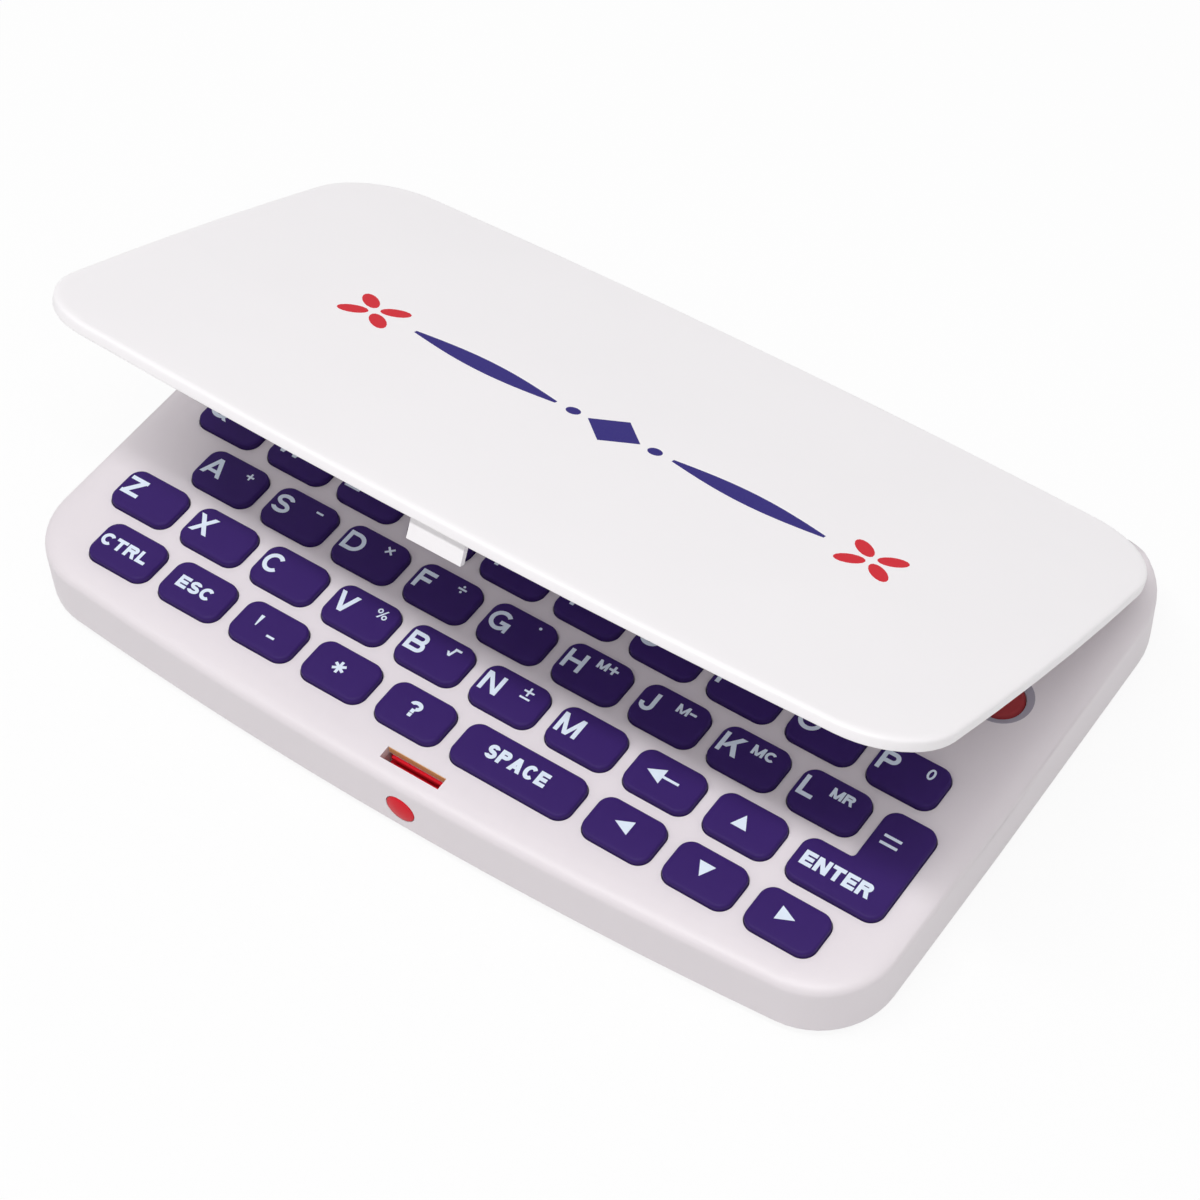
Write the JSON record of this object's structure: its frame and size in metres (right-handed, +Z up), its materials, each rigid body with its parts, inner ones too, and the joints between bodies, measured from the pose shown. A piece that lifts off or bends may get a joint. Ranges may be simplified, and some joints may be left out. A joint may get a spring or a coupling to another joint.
{
  "type": "pocket electronic dictionary",
  "caption": "Flat pocket electronic dictionary with a hinged cover standing part open, violet rubber letter keys, a red latch button, a display window and a coin cell bay.",
  "frame": {"origin": "on the table under the middle of the casing", "axes": "+Z up, +X to the right along the key rows, +Y from the keyboard side to the lid's hinge"},
  "size_m": [0.1178, 0.0796, 0.0442],
  "materials": {
    "casing_white": "satin",
    "lid_white": "satin",
    "key_violet": "satin",
    "button_red": "gloss",
    "steel": "satin",
    "screw_steel": "satin",
    "cell_steel": "satin",
    "lens_clear": "gloss",
    "lcd": "satin",
    "board_green": "satin",
    "chip_black": "matte",
    "rubber_grey": "matte",
    "rubber_dark": "matte"
  },
  "bodies": {
    "casing": {"upper_case": "casing_white", "lower_case": "casing_white", "hinge_pins": "steel", "display_lens": "lens_clear", "lcd_glass": "lcd", "lcd_connector": "rubber_dark", "main_pcb": "board_green", "controller_chip": "chip_black", "keypad_mat": "rubber_grey", "power_switch": "chip_black", "battery_contacts": "steel", "coin_cells": "cell_steel", "rubber_feet": "rubber_dark", "case_screws": "screw_steel", "latch_spring": "steel"},
    "lid": {"lid": "lid_white"},
    "latch": {"latch_slide": "button_red"},
    "power": {"power_button": "button_red"},
    "battery_cover": {"battery_cover": "casing_white"},
    "key_q": {"key_q": "key_violet"},
    "key_w": {"key_w": "key_violet"},
    "key_e": {"key_e": "key_violet"},
    "key_r": {"key_r": "key_violet"},
    "key_t": {"key_t": "key_violet"},
    "key_y": {"key_y": "key_violet"},
    "key_u": {"key_u": "key_violet"},
    "key_i": {"key_i": "key_violet"},
    "key_o": {"key_o": "key_violet"},
    "key_p": {"key_p": "key_violet"},
    "key_a": {"key_a": "key_violet"},
    "key_s": {"key_s": "key_violet"},
    "key_d": {"key_d": "key_violet"},
    "key_f": {"key_f": "key_violet"},
    "key_g": {"key_g": "key_violet"},
    "key_h": {"key_h": "key_violet"},
    "key_j": {"key_j": "key_violet"},
    "key_k": {"key_k": "key_violet"},
    "key_l": {"key_l": "key_violet"},
    "key_z": {"key_z": "key_violet"},
    "key_x": {"key_x": "key_violet"},
    "key_c": {"key_c": "key_violet"},
    "key_v": {"key_v": "key_violet"},
    "key_b": {"key_b": "key_violet"},
    "key_n": {"key_n": "key_violet"},
    "key_m": {"key_m": "key_violet"},
    "key_delete": {"key_delete": "key_violet"},
    "key_up": {"key_up": "key_violet"},
    "key_ctrl": {"key_ctrl": "key_violet"},
    "key_esc": {"key_esc": "key_violet"},
    "key_apostrophe": {"key_apostrophe": "key_violet"},
    "key_asterisk": {"key_asterisk": "key_violet"},
    "key_question": {"key_question": "key_violet"},
    "key_space": {"key_space": "key_violet"},
    "key_left": {"key_left": "key_violet"},
    "key_down": {"key_down": "key_violet"},
    "key_right": {"key_right": "key_violet"},
    "key_enter": {"key_enter": "key_violet"}
  },
  "joints": [
    {"name": "lid_hinge", "type": "hinge", "parent": "casing", "child": "lid", "pos_m": [0, 0.03695, 0.0066], "axis": [-1, 0, 0], "range_deg": [-26.04, 94]},
    {"name": "latch_press", "type": "slide", "parent": "casing", "child": "latch", "axis": [0, 1, 0], "range_m": [0, 0.0006], "stiffness_N_per_m": 400, "springref_m": -0.001, "deforming": ["latch_spring"]},
    {"name": "power_press", "type": "slide", "parent": "casing", "child": "power", "axis": [0, 0, -1], "range_m": [0, 0.0006], "stiffness_N_per_m": 300, "springref_m": -0.0005},
    {"name": "battery_cover_slide", "type": "slide", "parent": "casing", "child": "battery_cover", "axis": [0, 1, 0], "range_m": [0, 0.008]},
    {"name": "key_q_press", "type": "slide", "parent": "casing", "child": "key_q", "axis": [0, 0, -1], "range_m": [0, 0.0008], "stiffness_N_per_m": 300, "springref_m": -0.0005},
    {"name": "key_w_press", "type": "slide", "parent": "casing", "child": "key_w", "axis": [0, 0, -1], "range_m": [0, 0.0008], "stiffness_N_per_m": 300, "springref_m": -0.0005},
    {"name": "key_e_press", "type": "slide", "parent": "casing", "child": "key_e", "axis": [0, 0, -1], "range_m": [0, 0.0008], "stiffness_N_per_m": 300, "springref_m": -0.0005},
    {"name": "key_r_press", "type": "slide", "parent": "casing", "child": "key_r", "axis": [0, 0, -1], "range_m": [0, 0.0008], "stiffness_N_per_m": 300, "springref_m": -0.0005},
    {"name": "key_t_press", "type": "slide", "parent": "casing", "child": "key_t", "axis": [0, 0, -1], "range_m": [0, 0.0008], "stiffness_N_per_m": 300, "springref_m": -0.0005},
    {"name": "key_y_press", "type": "slide", "parent": "casing", "child": "key_y", "axis": [0, 0, -1], "range_m": [0, 0.0008], "stiffness_N_per_m": 300, "springref_m": -0.0005},
    {"name": "key_u_press", "type": "slide", "parent": "casing", "child": "key_u", "axis": [0, 0, -1], "range_m": [0, 0.0008], "stiffness_N_per_m": 300, "springref_m": -0.0005},
    {"name": "key_i_press", "type": "slide", "parent": "casing", "child": "key_i", "axis": [0, 0, -1], "range_m": [0, 0.0008], "stiffness_N_per_m": 300, "springref_m": -0.0005},
    {"name": "key_o_press", "type": "slide", "parent": "casing", "child": "key_o", "axis": [0, 0, -1], "range_m": [0, 0.0008], "stiffness_N_per_m": 300, "springref_m": -0.0005},
    {"name": "key_p_press", "type": "slide", "parent": "casing", "child": "key_p", "axis": [0, 0, -1], "range_m": [0, 0.0008], "stiffness_N_per_m": 300, "springref_m": -0.0005},
    {"name": "key_a_press", "type": "slide", "parent": "casing", "child": "key_a", "axis": [0, 0, -1], "range_m": [0, 0.0008], "stiffness_N_per_m": 300, "springref_m": -0.0005},
    {"name": "key_s_press", "type": "slide", "parent": "casing", "child": "key_s", "axis": [0, 0, -1], "range_m": [0, 0.0008], "stiffness_N_per_m": 300, "springref_m": -0.0005},
    {"name": "key_d_press", "type": "slide", "parent": "casing", "child": "key_d", "axis": [0, 0, -1], "range_m": [0, 0.0008], "stiffness_N_per_m": 300, "springref_m": -0.0005},
    {"name": "key_f_press", "type": "slide", "parent": "casing", "child": "key_f", "axis": [0, 0, -1], "range_m": [0, 0.0008], "stiffness_N_per_m": 300, "springref_m": -0.0005},
    {"name": "key_g_press", "type": "slide", "parent": "casing", "child": "key_g", "axis": [0, 0, -1], "range_m": [0, 0.0008], "stiffness_N_per_m": 300, "springref_m": -0.0005},
    {"name": "key_h_press", "type": "slide", "parent": "casing", "child": "key_h", "axis": [0, 0, -1], "range_m": [0, 0.0008], "stiffness_N_per_m": 300, "springref_m": -0.0005},
    {"name": "key_j_press", "type": "slide", "parent": "casing", "child": "key_j", "axis": [0, 0, -1], "range_m": [0, 0.0008], "stiffness_N_per_m": 300, "springref_m": -0.0005},
    {"name": "key_k_press", "type": "slide", "parent": "casing", "child": "key_k", "axis": [0, 0, -1], "range_m": [0, 0.0008], "stiffness_N_per_m": 300, "springref_m": -0.0005},
    {"name": "key_l_press", "type": "slide", "parent": "casing", "child": "key_l", "axis": [0, 0, -1], "range_m": [0, 0.0008], "stiffness_N_per_m": 300, "springref_m": -0.0005},
    {"name": "key_z_press", "type": "slide", "parent": "casing", "child": "key_z", "axis": [0, 0, -1], "range_m": [0, 0.0008], "stiffness_N_per_m": 300, "springref_m": -0.0005},
    {"name": "key_x_press", "type": "slide", "parent": "casing", "child": "key_x", "axis": [0, 0, -1], "range_m": [0, 0.0008], "stiffness_N_per_m": 300, "springref_m": -0.0005},
    {"name": "key_c_press", "type": "slide", "parent": "casing", "child": "key_c", "axis": [0, 0, -1], "range_m": [0, 0.0008], "stiffness_N_per_m": 300, "springref_m": -0.0005},
    {"name": "key_v_press", "type": "slide", "parent": "casing", "child": "key_v", "axis": [0, 0, -1], "range_m": [0, 0.0008], "stiffness_N_per_m": 300, "springref_m": -0.0005},
    {"name": "key_b_press", "type": "slide", "parent": "casing", "child": "key_b", "axis": [0, 0, -1], "range_m": [0, 0.0008], "stiffness_N_per_m": 300, "springref_m": -0.0005},
    {"name": "key_n_press", "type": "slide", "parent": "casing", "child": "key_n", "axis": [0, 0, -1], "range_m": [0, 0.0008], "stiffness_N_per_m": 300, "springref_m": -0.0005},
    {"name": "key_m_press", "type": "slide", "parent": "casing", "child": "key_m", "axis": [0, 0, -1], "range_m": [0, 0.0008], "stiffness_N_per_m": 300, "springref_m": -0.0005},
    {"name": "key_delete_press", "type": "slide", "parent": "casing", "child": "key_delete", "axis": [0, 0, -1], "range_m": [0, 0.0008], "stiffness_N_per_m": 300, "springref_m": -0.0005},
    {"name": "key_up_press", "type": "slide", "parent": "casing", "child": "key_up", "axis": [0, 0, -1], "range_m": [0, 0.0008], "stiffness_N_per_m": 300, "springref_m": -0.0005},
    {"name": "key_ctrl_press", "type": "slide", "parent": "casing", "child": "key_ctrl", "axis": [0, 0, -1], "range_m": [0, 0.0008], "stiffness_N_per_m": 300, "springref_m": -0.0005},
    {"name": "key_esc_press", "type": "slide", "parent": "casing", "child": "key_esc", "axis": [0, 0, -1], "range_m": [0, 0.0008], "stiffness_N_per_m": 300, "springref_m": -0.0005},
    {"name": "key_apostrophe_press", "type": "slide", "parent": "casing", "child": "key_apostrophe", "axis": [0, 0, -1], "range_m": [0, 0.0008], "stiffness_N_per_m": 300, "springref_m": -0.0005},
    {"name": "key_asterisk_press", "type": "slide", "parent": "casing", "child": "key_asterisk", "axis": [0, 0, -1], "range_m": [0, 0.0008], "stiffness_N_per_m": 300, "springref_m": -0.0005},
    {"name": "key_question_press", "type": "slide", "parent": "casing", "child": "key_question", "axis": [0, 0, -1], "range_m": [0, 0.0008], "stiffness_N_per_m": 300, "springref_m": -0.0005},
    {"name": "key_space_press", "type": "slide", "parent": "casing", "child": "key_space", "axis": [0, 0, -1], "range_m": [0, 0.0008], "stiffness_N_per_m": 300, "springref_m": -0.0005},
    {"name": "key_left_press", "type": "slide", "parent": "casing", "child": "key_left", "axis": [0, 0, -1], "range_m": [0, 0.0008], "stiffness_N_per_m": 300, "springref_m": -0.0005},
    {"name": "key_down_press", "type": "slide", "parent": "casing", "child": "key_down", "axis": [0, 0, -1], "range_m": [0, 0.0008], "stiffness_N_per_m": 300, "springref_m": -0.0005},
    {"name": "key_right_press", "type": "slide", "parent": "casing", "child": "key_right", "axis": [0, 0, -1], "range_m": [0, 0.0008], "stiffness_N_per_m": 300, "springref_m": -0.0005},
    {"name": "key_enter_press", "type": "slide", "parent": "casing", "child": "key_enter", "axis": [0, 0, -1], "range_m": [0, 0.0008], "stiffness_N_per_m": 300, "springref_m": -0.0005}
  ]
}
